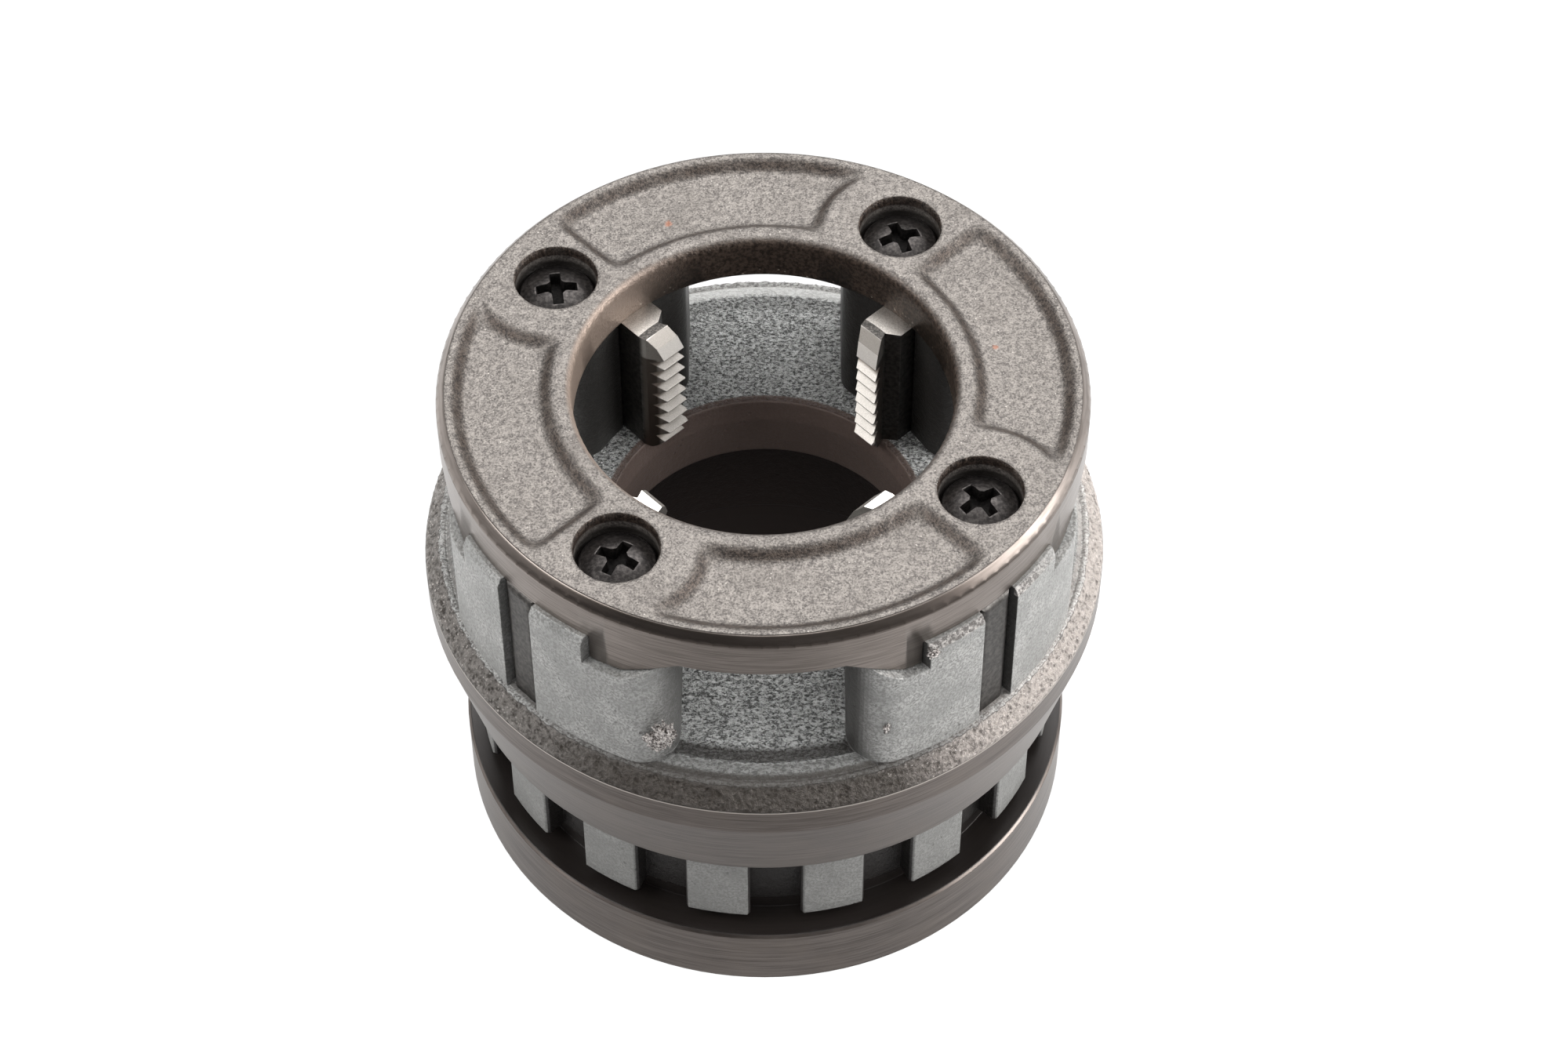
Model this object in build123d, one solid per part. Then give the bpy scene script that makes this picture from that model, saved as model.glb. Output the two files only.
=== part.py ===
"""Pipe threading die head: four chasers held in slotted posts under a round cover."""
from build123d import *
import math
import os

os.makedirs("parts", exist_ok=True)

# Heights, stacked from the underside up
ring_height = 10.46
groove_height = 2.34
tooth_height = 15.8
flange_cone_height = 13.3
flange_wall_height = 4.5
band_height = 3.4
post_height = 22.58
cover_height = 6.77

# Body radii and walls
ring_radius = 44.05
core_radius = 38.7
skirt_radius = 33.0
tooth_depth = 3.16
flange_overhang = 2.54
post_radius = 45.2
flange_stand = 2.5
post_inner_radius = 26.2
floor_hole_flare = 0.6
floor_hole_depth = 3.5
guide_radius = 21.4
guide_height = 6.6
edge_break = 0.4

# Drive band
tooth_count = 16
tooth_gap = 7.1
tooth_start_angle = -87.8
tooth_corner = 0.5

# Posts, windows and the steps beside the lugs
post_count = 4
window_width = 22.0
mouth_corner = 5.0
inner_corner = 4.0
floor_rim_width = 1.6
floor_rim_drop = 0.55
lug_half_width = 11.6
step_drop = 4.7
step_inner_radius = 33.5
ramp_foot = 18.4
ramp_head = 10.8
lug_bevel_in = 0.6
lug_bevel_down = 1.2

# Dies
die_angle = 43.7
die_width = 5.6
slot_clearance = 0.25
slot_corner = 0.5
die_inset = 0.9
die_heel_radius = 21.0
die_heel_tip_radius = 19.0
die_heel_half = 2.5
die_heel_tip = 0.85
die_cut_radius = 18.9
die_cut_side = -2.6
die_tip_reach = 0.6
hook_radius = 23.5
hook_points = [(20.9, -1.55), (22.2, -0.95)]
die_corner = 1.2
die_nose_radius = 20.95
die_bevel_drop = 1.68
die_bevel_radius = 19.65
die_land_drop = 3.78
die_land_radius = 18.85

# Thread form, eleven and a half turns an inch on a one in sixteen taper
thread_pitch = 25.4 / 11.5
thread_depth = 0.8 * thread_pitch
thread_start_drop = 6.23
thread_flat = 0.06
thread_count = 8
taper = 1 / 32
throat_height = 3.2
throat_slope = 0.45

# Cover
cover_inset = 1.2
cover_chamfer_in = 1.1
cover_chamfer_down = 1.31
cover_overhang = 0.4
cover_lip = 0.8
pad_gap = 0.3
pad_lift = 0.4
panel_rim_wall = 2.3
panel_bore_wall = 2.9
panel_depth = 1.4
panel_draft = 38
panel_corner = 1.6
panel_screw_clear = 10.8
panel_end_clear = 12.0

# Cover screws
screw_set_in = 0.65
screw_angle = 56.5
screw_recess_depth = 4.85
screw_head_radius = 5.15
screw_head_gap = 0.5
screw_edge_height = 1.75
screw_crown = 1.0
crown_flat_radius = 3.0
screw_shank_radius = 2.5
screw_length = 16.0
screw_clearance = 0.3
cross_span = 5.6
cross_width = 1.15
cross_core = 2.3
cross_depth = 2.0
cross_turns = [20, 8, -28, 36]

# Heights that follow from the sizes above
ring_top = ring_height
groove_top = ring_top + groove_height
flange_low = groove_top + tooth_height
flange_mid = flange_low + flange_cone_height
flange_high = flange_mid + flange_wall_height
floor_z = flange_high + band_height
guide_high = floor_z - floor_hole_depth
guide_low = guide_high - guide_height
seat_z = floor_z + post_height
step_z = seat_z - step_drop
cover_top = seat_z + cover_height
screw_seat_z = cover_top - screw_recess_depth
die_bevel_low = seat_z - die_bevel_drop
die_land_low = seat_z - die_land_drop
thread_first_crest = seat_z - thread_start_drop

# Radii and widths that follow from the sizes above
tooth_radius = core_radius + tooth_depth
flange_low_radius = tooth_radius + flange_overhang
flange_radius = post_radius + flange_stand
cover_radius = post_radius - cover_inset
cover_bore_radius = post_inner_radius - cover_overhang
panel_outer_radius = cover_radius - panel_rim_wall
panel_inner_radius = cover_bore_radius + panel_bore_wall
screw_circle_radius = (cover_bore_radius + cover_radius) / 2 - screw_set_in
screw_recess_radius = screw_head_radius + screw_head_gap
die_outer_radius = post_radius - die_inset
slot_width = die_width + 2 * slot_clearance


def turned(points, degrees=360):
    """Solid of revolution about Z from radius and height pairs."""
    with BuildPart() as part:
        with BuildSketch(Plane.XZ):
            with BuildLine():
                Polyline(*points, close=True)
            make_face()
        revolve(axis=Axis.Z, revolution_arc=degrees)
    return part.part


def body_blank():
    """Ring, core, flange, window floor and guide bore."""
    e = edge_break
    ring = [(skirt_radius, 0), (ring_radius, 0), (ring_radius, ring_top - e),
            (ring_radius - e, ring_top)]
    flange = [(core_radius, ring_top), (core_radius, flange_low), (flange_low_radius, flange_low),
              (flange_radius, flange_mid), (flange_radius, flange_high)]
    floor = [(post_radius, floor_z - floor_rim_drop), (post_radius - floor_rim_width, floor_z)]
    bore = [(guide_radius + floor_hole_flare, floor_z), (guide_radius, guide_high),
            (guide_radius, guide_low), (skirt_radius, guide_low)]
    return turned(ring + flange + floor + bore)


def drive_teeth():
    """Ring of teeth between the bottom ring and the flange."""
    with BuildPart() as part:
        with BuildSketch(Plane.XY.offset(groove_top)) as plan:
            Circle(tooth_radius)
            Circle(core_radius - 1, mode=Mode.SUBTRACT)
            with PolarLocations(tooth_radius, tooth_count, tooth_start_angle):
                Rectangle(tooth_radius, tooth_gap, mode=Mode.SUBTRACT)
            rim = [v for v in plan.vertices() if math.hypot(v.X, v.Y) > tooth_radius - 0.1]
            chamfer(rim, tooth_corner)
        extrude(amount=flange_low + 1 - groove_top)
    return part.part


def post_plan():
    """Plan of the four posts between the window channels."""
    reach = 3 * post_radius
    with BuildSketch() as plan:
        Circle(post_radius)
        Circle(post_inner_radius, mode=Mode.SUBTRACT)
        Rectangle(reach, window_width, mode=Mode.SUBTRACT)
        Rectangle(window_width, reach, mode=Mode.SUBTRACT)
        rim = [v for v in plan.vertices() if math.hypot(v.X, v.Y) > post_radius - 0.1]
        fillet(rim, mouth_corner)
        bore = [v for v in plan.vertices() if math.hypot(v.X, v.Y) < post_inner_radius + 0.1]
        fillet(bore, inner_corner)
    return plan.sketch


def lug_plan(half_width):
    """Strips along the die slots and the disc inside the steps."""
    reach = 3 * post_radius
    with BuildSketch() as plan:
        Circle(step_inner_radius + half_width - lug_half_width)
        Rectangle(reach, 2 * half_width, rotation=die_angle)
        Rectangle(reach, 2 * half_width, rotation=die_angle + 90)
    return plan.sketch


def slot_plan():
    """Die slots with eased mouths."""
    reach = 1.5 * post_radius
    half = slot_width / 2
    with BuildSketch() as plan:
        Rectangle(2 * reach, slot_width, rotation=die_angle)
        Rectangle(2 * reach, slot_width, rotation=die_angle + 90)
        with Locations(*[Location((0, 0, 0), (0, 0, die_angle + 90 * k)) for k in range(4)]):
            with BuildLine():
                Polyline((post_radius - slot_corner, half - 0.01),
                         (post_radius - slot_corner, -half + 0.01),
                         (post_radius + 1, -half - 1 - slot_corner),
                         (post_radius + 1, half + 1 + slot_corner), close=True)
            make_face()
    return plan.sketch


def window_ramps(lift):
    """Bars across the windows whose sides fall to the steps, where posts and pads meet."""
    with BuildPart() as part:
        for turn in (0, 90):
            with BuildSketch(Plane.XZ.rotated((0, 0, turn))):
                with BuildLine():
                    Polyline((-ramp_foot, step_z + lift), (-ramp_head, seat_z + lift - pad_lift),
                             (ramp_head, seat_z + lift - pad_lift), (ramp_foot, step_z + lift),
                             (ramp_foot, step_z - 1), (-ramp_foot, step_z - 1), close=True)
                make_face()
            extrude(amount=1.5 * post_radius, both=True)
    return part.part


def die_head_body():
    """One casting with its posts, windows, slots and screw holes."""
    posts = post_plan()
    lugs = posts & lug_plan(lug_half_width)
    root = floor_z - floor_rim_drop - 0.5
    full = Pos(0, 0, root) * extrude(posts, seat_z - root)
    body = body_blank() + drive_teeth()
    body += Pos(0, 0, root) * extrude(posts, step_z - root)
    body += Pos(0, 0, root) * extrude(lugs, seat_z - root)
    body += full & window_ramps(0)
    bevel = turned([(post_radius - lug_bevel_in, seat_z), (post_radius + 1, seat_z),
                    (post_radius + 1, seat_z - lug_bevel_down),
                    (post_radius, seat_z - lug_bevel_down)])
    body -= bevel
    body -= Pos(0, 0, floor_z) * extrude(slot_plan(), cover_top)
    hole = Cylinder(screw_shank_radius + screw_clearance, screw_length,
                    align=(Align.CENTER, Align.CENTER, Align.MAX))
    for place in screw_places(seat_z):
        body -= place * hole
    return body


def screw_places(height):
    """Screw axes at a height."""
    places = []
    for k in range(post_count):
        angle = math.radians(screw_angle + 90 * k)
        places.append(Pos(screw_circle_radius * math.cos(angle),
                          screw_circle_radius * math.sin(angle), height))
    return places


def panel_plan(grow):
    """Kidney outline after the first screw, moved out by grow."""
    reach = 2 * cover_radius
    start = Rot(0, 0, screw_angle) * Pos(0, -reach / 2)
    end = Rot(0, 0, screw_angle + 90 - panel_end_clear) * Pos(0, grow + reach / 2)
    with BuildSketch() as plan:
        Circle(panel_outer_radius + grow)
        Circle(panel_inner_radius - grow, mode=Mode.SUBTRACT)
        with Locations(start, end):
            Rectangle(2 * reach, reach, mode=Mode.SUBTRACT)
        with Locations(screw_places(0)[0]):
            Circle(panel_screw_clear - grow, mode=Mode.SUBTRACT)
        fillet(plan.vertices(), panel_corner)
    return plan.sketch


def panel_cutter():
    """Drafted recess of one kidney panel."""
    wall = panel_depth * math.tan(math.radians(panel_draft))
    top = Pos(0, 0, cover_top) * panel_plan(0)
    low = Pos(0, 0, cover_top - panel_depth) * panel_plan(-wall)
    return loft([low.face(), top.face()], ruled=True)


def cover_plate():
    """Round cover with bore, panels, counterbores and rim pads."""
    blank = turned([(cover_bore_radius, seat_z), (cover_radius, seat_z),
                    (cover_radius, cover_top - cover_chamfer_down),
                    (cover_radius - cover_chamfer_in, cover_top),
                    (cover_bore_radius + cover_lip, cover_top),
                    (cover_bore_radius, cover_top - cover_lip)])
    low = step_z + pad_lift
    disc = turned([(0, low), (cover_radius, low), (cover_radius, seat_z + 1), (0, seat_z + 1)])
    lugs = Pos(0, 0, low) * extrude(lug_plan(lug_half_width + pad_gap), seat_z - low + 1)
    pads = disc - lugs - window_ramps(pad_lift)
    cover = blank + pads
    cutter = panel_cutter()
    for k in range(post_count):
        cover -= Rot(0, 0, 90 * k) * cutter
    recess = Cylinder(screw_recess_radius, cover_top,
                      align=(Align.CENTER, Align.CENTER, Align.MIN))
    hole = Cylinder(screw_shank_radius + screw_clearance, 4 * screw_length)
    for place in screw_places(screw_seat_z):
        cover -= place * recess
        cover -= place * hole
    return cover


def thread_profile(first_crest):
    """Side view of a die: ground top, bevel, land, thread teeth and throat."""
    def taper_in(z):
        return taper * (die_land_low - z)

    crest = die_cut_radius
    root = crest + thread_depth
    points = [(die_outer_radius, floor_z), (die_outer_radius, seat_z), (die_nose_radius, seat_z),
              (die_bevel_radius, die_bevel_low), (die_land_radius, die_land_low)]
    z = first_crest
    top_root = z + thread_pitch / 2
    if top_root < die_land_low - 0.1:
        points.append((root - taper_in(top_root), top_root))
    for k in range(thread_count):
        if z - thread_pitch / 2 < floor_z + 0.3:
            break
        grown = max(0, floor_z + throat_height - z) * throat_slope
        points.append((crest + grown - taper_in(z), z + thread_flat))
        points.append((crest + grown - taper_in(z), z - thread_flat))
        points.append((root - taper_in(z), z - thread_pitch / 2))
        z -= thread_pitch
    points.append((root, floor_z))
    return points


def die_plan():
    """Top view of a die along its own radius, with hook and heel."""
    half = die_width / 2
    return [(die_outer_radius, -half), (die_outer_radius, half), (die_heel_radius + 1, half),
            (die_heel_radius, die_heel_half), (die_heel_tip_radius - die_tip_reach, die_heel_tip),
            (die_cut_radius - die_tip_reach, die_cut_side), (die_cut_radius, die_cut_side),
            hook_points[0], hook_points[1], (hook_radius, -half)]


def die(number):
    """One chaser at its slot, with the thread moved by a quarter pitch a die."""
    shift = thread_pitch * number / post_count
    with BuildPart() as blade:
        with BuildSketch(Plane.XZ):
            with BuildLine():
                Polyline(*thread_profile(thread_first_crest + shift), close=True)
            make_face()
        extrude(amount=die_width, both=True)
    with BuildPart() as outline:
        with BuildSketch(Plane.XY.offset(floor_z)):
            with BuildLine():
                Polyline(*die_plan(), close=True)
            make_face()
        extrude(amount=seat_z - floor_z)
        back = outline.edges().filter_by_position(Axis.X, die_outer_radius - 0.01,
                                                  die_outer_radius + 0.01)
        keep = [e for e in back if e.center().Z > floor_z + 1]
        fillet(keep, die_corner)
    return Rot(0, 0, die_angle + 90 * number) * (blade.part & outline.part)


def cover_screw(number):
    """Crowned pan head screw with a cross recess."""
    edge = screw_seat_z + screw_edge_height
    peak = edge + screw_crown
    tip = screw_seat_z - screw_length
    screw = turned([(0, tip), (0, peak), (crown_flat_radius, peak), (screw_head_radius, edge),
                    (screw_head_radius, screw_seat_z), (screw_shank_radius, screw_seat_z),
                    (screw_shank_radius, tip)])
    with BuildSketch(Plane.XY.offset(peak)) as cross:
        Rectangle(cross_span, cross_width)
        Rectangle(cross_width, cross_span)
        Rectangle(cross_core, cross_core, rotation=45)
    screw -= extrude(cross.sketch, -cross_depth)
    return screw_places(0)[number] * Rot(0, 0, cross_turns[number]) * screw


def save(shape, name):
    """Write one node."""
    shape.label = name
    export_step(shape, "parts/" + name + ".step")


save(die_head_body(), "die_head_body")
save(cover_plate(), "cover_plate")
for index in range(post_count):
    save(die(index), "die_" + str(index + 1))
    save(cover_screw(index), "cover_screw_" + str(index + 1))
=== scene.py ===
"""Looks of the pipe threading die head: camera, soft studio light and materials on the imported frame."""
import math
from types import SimpleNamespace

import bmesh
import bpy
import numpy as np
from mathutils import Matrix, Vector, noise
from mathutils.geometry import delaunay_2d_cdt


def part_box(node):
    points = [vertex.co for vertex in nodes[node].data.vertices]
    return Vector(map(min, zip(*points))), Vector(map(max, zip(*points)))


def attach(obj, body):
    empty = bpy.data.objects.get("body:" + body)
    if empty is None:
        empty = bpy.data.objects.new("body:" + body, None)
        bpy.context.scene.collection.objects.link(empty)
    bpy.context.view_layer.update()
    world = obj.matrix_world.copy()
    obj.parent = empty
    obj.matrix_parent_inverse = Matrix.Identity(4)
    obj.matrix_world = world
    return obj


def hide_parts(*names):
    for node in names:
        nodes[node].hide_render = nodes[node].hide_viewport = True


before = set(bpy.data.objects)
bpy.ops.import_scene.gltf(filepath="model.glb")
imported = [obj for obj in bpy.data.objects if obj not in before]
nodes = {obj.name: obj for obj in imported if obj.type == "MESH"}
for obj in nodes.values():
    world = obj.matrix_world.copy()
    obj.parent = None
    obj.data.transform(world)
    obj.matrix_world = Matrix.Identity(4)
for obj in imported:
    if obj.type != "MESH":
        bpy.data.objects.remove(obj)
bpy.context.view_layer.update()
MM = 0.001
PER_METRE = 1000

# Heights that the masks and the meshes share, in millimetres
COVER_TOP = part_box("cover_plate")[1][2] / MM
BODY_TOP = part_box("die_head_body")[1][2] / MM
DIE_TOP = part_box("die_1")[1][2] / MM
RING_TOP = 10.46
GROOVE_TOP = 12.8
FLANGE_LOW = 28.6
GUIDE_LOW = 39.7
FLANGE_HIGH = 46.4
FLOOR = 49.8
LEAD_LOW = 68.3

# Radii at which the body's finish changes, in millimetres
GUIDE_RADIUS = 21.4
SKIRT_RADIUS = 33.0
VALLEY_IN = 39.7
TOOTH_ROOT = 41.6
BORDER_IN = 41.9
VALLEY_OUT = 42.1
TURNED_IN = 42.2
GROOVE_RADIUS = 43.6
FLOOR_OUT = 44.8
POST_RADIUS = 45.2
FLANGE_RADIUS = 47.7

# Chaser radii: outer edge of the teeth, of the strip along the top, and of the ground top
TEETH_OUT = 20.9
STRIP_OUT = 22.25
GROUND_OUT = 26.0

# Cover face
COVER_RADIUS = 44.0
CHAMFER_IN = 1.1
CHAMFER_DOWN = 1.31
BORE_RADIUS = 25.8
BORE_LIP = 1.25
PANEL_OUTER = 41.1
PANEL_INNER = 29.3
PANEL_DEPTH = 1.4
PANEL_WALL = 2.4
PANEL_CORNER = 3.4
PANEL_SCREW_CLEAR = 11.3
PANEL_END = 12.0
CUT_HEIGHT = 77.6
FACE_STEP = 0.42
LIP_BLUR = 0.05
RIM_INSET = 0.06
RIM_STEPS = (0.3, 0.6, 0.85, 0.98, 1.1, 1.24, 1.5)
RIM_POINTS = 520
BORE_POINTS = 380
RECESS_POINTS = 90

# What a point of the cover's face belongs to: nothing, rim, bore, and from two on the screws' recesses
FREE = -1
RIM = 0
BORE = 1
FIRST_RECESS = 2

# Screws
SCREW_CIRCLE = 34.25
SCREW_ANGLE = 56.5
SCREW_RECESS = 5.65
RECESS_LIP = 0.28
HEAD_LOW = 74.3
HEAD_RADIUS = 5.15
HEAD_EDGE = 1.55
HEAD_DOME = 1.5
HEAD_ROUND = 0.35
HEAD_TOP = HEAD_LOW + HEAD_EDGE + HEAD_DOME
CROSS_HALF = 2.8
CROSS_ARM = 0.72
CROSS_WEB = 1.35
CROSS_DEPTH = 2.1
CROSS_TURNS = (20, 8, -28, 36)
SHANK_RADIUS = 2.5
SHANK_LENGTH = 16.0

# Rough cone below the window floors: radius, height, share of roughness and lift of each ring of points
BAND_RINGS = ((47.7, 46.4, 0, -0.12), (47.5, 46.62, 0.6, 0.02), (47.2, 46.96, 1, 0.02),
              (46.9, 47.3, 1, 0.02), (46.6, 47.65, 1, 0.02), (46.3, 48.0, 1, 0.02),
              (46.0, 48.34, 1, 0.02), (45.75, 48.66, 1, 0.02), (45.55, 48.98, 0.9, 0.02),
              (45.42, 49.25, 0.7, 0.02), (45.3, 49.48, 0.45, 0.02), (45.12, 49.62, 0.3, 0.02),
              (44.92, 49.6, 0.25, 0.02), (44.72, 49.5, 0.2, 0.0), (44.5, 49.44, 0, -0.12))
BAND_POINTS = 1100
BAND_TILT = 41
BAND_GRIT = 0.24

# Floors of the windows: lift, share of roughness and drop by radius
FLOOR_RINGS = 74
FLOOR_POINTS = 1300
FLOOR_LIFTS = ((22.1, -0.15), (22.5, 0.24), (39.0, 0.34), (40.0, 0.12), (41.6, 0.12), (42.6, 0.38),
               (43.8, 0.34), (44.3, 0.1), (44.7, -0.15))
FLOOR_ROUGH = ((22.5, 0), (23.2, 1), (39.2, 1), (40.0, 0.6), (42.0, 0.6), (42.8, 0.4), (44.5, 0.2))
FLOOR_DROP = ((43.6, 0), (45.2, 0.55))
FLOOR_GRIT = 0.11

# Rust spots on the cover (x, y, size) and burrs on the posts (place, size)
RUST = ((-13.3, 30.4, 0.7), (31.5, 7.3, 0.55))
BURRS = (((-12.8, -43.15, 58.2), (1.9, 0.65, 2.7)), ((-14.2, -42.9, 56.2), (1.7, 0.6, 1.8)),
         ((22.0, -39.4, 70.9), (1.0, 0.7, 0.6)), ((16.3, -42.0, 57.8), (0.6, 0.25, 1.0)))

# Camera, solved from the photograph: lens and sensor in millimetres, place in metres, tilt in degrees
CAMERA_LENS = 85.51
CAMERA_SENSOR = 36
CAMERA_PLACE = (0.0027754, -0.3294104, 0.4551219)
CAMERA_TILT = 39.041

# Soft lamps: name, place, aim and size in metres, and power in watts
LAMPS = (("top_back", (0.05, 0.45, 0.75), (0, 0, 0.07), (0.7, 0.5), 6),
         ("right", (0.75, -0.1, 0.35), (0, 0, 0.05), (0.5, 0.5), 6.5),
         ("left", (-0.62, -0.15, 0.62), (0, 0, 0.05), (0.5, 0.5), 4.0),
         ("front_high", (0.15, -0.4, 0.95), (0, 0, 0.05), (0.6, 0.4), 1.8))

# Half a side of the studio's floor, in metres
FLOOR_HALF = 3.0


class Tree:
    """A small way to write a node tree."""

    def __init__(self, tree, place):
        self.tree = tree
        tree.nodes.clear()
        self.coords = self.make("ShaderNodeTexCoord", {}, place)

    def put(self, socket, value):
        """Links a socket, or sets a constant on it."""
        if isinstance(value, bpy.types.NodeSocket):
            self.tree.links.new(value, socket)
        elif socket.type == "RGBA":
            socket.default_value = (*value, 1)
        else:
            socket.default_value = value

    def make(self, kind, inputs, output=0, **settings):
        """One output of a new node with its settings and inputs."""
        node = self.tree.nodes.new(kind)
        for key, value in settings.items():
            setattr(node, key, value)
        for key, value in inputs.items():
            self.put(node.inputs[key], value)
        return node.outputs[output]

    def end(self, kind, shader):
        """Ends the tree with an output node."""
        self.tree.links.new(shader, self.tree.nodes.new(kind).inputs[0])

    def math(self, operation, *values):
        """One Math node."""
        return self.make("ShaderNodeMath", dict(enumerate(values)), operation=operation)

    def chain(self, operation, values):
        """Values joined one after another by an operation."""
        out = values[0]
        for value in values[1:]:
            out = self.math(operation, out, value)
        return out

    def times(self, *values):
        """Product of values."""
        return self.chain("MULTIPLY", values)

    def plus(self, *values):
        """Sum of values."""
        return self.chain("ADD", values)

    def most(self, *values):
        """Largest of values."""
        return self.chain("MAXIMUM", values)

    def total(self, *parts):
        """Sum of (value, weight) pairs."""
        return self.plus(*[self.times(value, weight) for value, weight in parts])

    def ramp(self, value, low, high, out_low=0.0, out_high=1.0):
        """Maps a value smoothly from one range to another, clamped."""
        inputs = {"Value": value, "From Min": low, "From Max": high, "To Min": out_low, "To Max": out_high}
        return self.make("ShaderNodeMapRange", inputs, interpolation_type="SMOOTHSTEP")

    def fall(self, value, low, high):
        """One below low and zero above high."""
        return self.ramp(value, low, high, 1.0, 0.0)

    def between(self, value, low, high, soft=0.1):
        """One between low and high, with soft ends."""
        up = self.ramp(value, low - soft, low + soft)
        down = self.fall(value, high - soft, high + soft)
        return self.times(up, down)

    def axis(self, name, vector=None):
        """One component of a vector, by default of the place in metres."""
        return self.make("ShaderNodeSeparateXYZ", {0: vector or self.coords}, name)

    def across(self, name, low, high, out_low=0.0, out_high=1.0):
        """A ramp between two places along an axis, in millimetres."""
        return self.ramp(self.axis(name), low * MM, high * MM, out_low, out_high)

    def length(self, x, y):
        """Length in plan."""
        return self.math("SQRT", self.plus(self.times(x, x), self.times(y, y)))

    def shown(self):
        """Camera, glossy and transmission rays, which see the pale backdrop."""
        rays = ("Is Camera Ray", "Is Glossy Ray", "Is Transmission Ray")
        return self.most(*[self.make("ShaderNodeLightPath", {}, ray) for ray in rays])

    def camera_ray(self):
        """One for camera rays alone."""
        return self.make("ShaderNodeLightPath", {}, "Is Camera Ray")


class Graph(Tree):
    """Node tree of one material."""

    def __init__(self, name):
        self.material = bpy.data.materials.new(name)
        self.material.use_nodes = True
        super().__init__(self.material.node_tree, "Object")

    def radius(self):
        """Distance from the pipe axis in millimetres."""
        return self.times(self.length(self.axis("X"), self.axis("Y")), PER_METRE)

    def away(self, x, y):
        """Distance in plan from a point in millimetres."""
        along = self.math("SUBTRACT", self.axis("X"), x * MM)
        across = self.math("SUBTRACT", self.axis("Y"), y * MM)
        return self.times(self.length(along, across), PER_METRE)

    def height(self):
        """Height in millimetres."""
        return self.times(self.axis("Z"), PER_METRE)

    def facing(self, name="Z"):
        """One component of the true surface normal."""
        return self.axis(name, self.make("ShaderNodeNewGeometry", {}, "True Normal"))

    def outward(self):
        """How far the true normal points away from the pipe axis, from -1 to 1."""
        dot = self.plus(self.times(self.facing("X"), self.axis("X")),
                        self.times(self.facing("Y"), self.axis("Y")))
        return self.math("DIVIDE", self.times(dot, PER_METRE), self.radius())

    def turning(self, length=60):
        """Place for lathe lines: fine across the cut and long round the axis."""
        across = self.plus(self.axis("Z"), self.times(self.radius(), MM))
        inputs = {0: self.math("DIVIDE", self.axis("X"), length),
                  1: self.math("DIVIDE", self.axis("Y"), length), 2: across}
        return self.make("ShaderNodeCombineXYZ", inputs)

    def scaled(self, scale):
        """The place, scaled by axis."""
        return self.make("ShaderNodeMapping", {"Vector": self.coords, "Scale": scale})

    def noise(self, grain, detail=3, rough=0.6, vector=None, distortion=0.0):
        """Noise whose features are about grain millimetres across."""
        inputs = {"Vector": vector or self.coords, "Scale": PER_METRE / grain, "Detail": detail,
                  "Roughness": rough, "Distortion": distortion}
        return self.make("ShaderNodeTexNoise", inputs)

    def cells(self, grain):
        """Distance from the middle of cells of about grain millimetres."""
        inputs = {"Vector": self.coords, "Scale": PER_METRE / grain}
        return self.make("ShaderNodeTexVoronoi", inputs, "Distance")

    def mix(self, factor, a, b):
        """Mixes two colours."""
        return self.make("ShaderNodeMix", {"Factor": factor, "A": a, "B": b}, "Result", data_type="RGBA")

    def blend(self, factor, a, b):
        """Mixes two numbers."""
        return self.make("ShaderNodeMix", {"Factor": factor, "A": a, "B": b}, "Result", data_type="FLOAT")

    def bump(self, height, normal=None):
        """Bump of a height in millimetres."""
        inputs = {"Strength": 1.0, "Distance": MM, "Height": height}
        if normal is not None:
            inputs["Normal"] = normal
        return self.make("ShaderNodeBump", inputs)

    def rounded(self, radius):
        """A normal that rounds edges by a radius in millimetres."""
        return self.make("ShaderNodeBevel", {"Radius": self.times(radius, MM)}, samples=6)

    def finish(self, color, metallic, roughness, normal, specular=0.5):
        """Adds the shader and gives the material."""
        inputs = {"Base Color": color, "Metallic": metallic, "Roughness": roughness, "Normal": normal,
                  "Specular IOR Level": specular}
        self.end("ShaderNodeOutputMaterial", self.make("ShaderNodeBsdfPrincipled", inputs))
        return self.material


def tone(r, g, b):
    """A colour as it shows on screen, from 0 to 255, as linear light."""
    out = []
    for v in (r, g, b):
        v /= 255
        out.append(v / 12.92 if v <= 0.04045 else ((v + 0.055) / 1.055) ** 2.4)
    return tuple(out)


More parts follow.
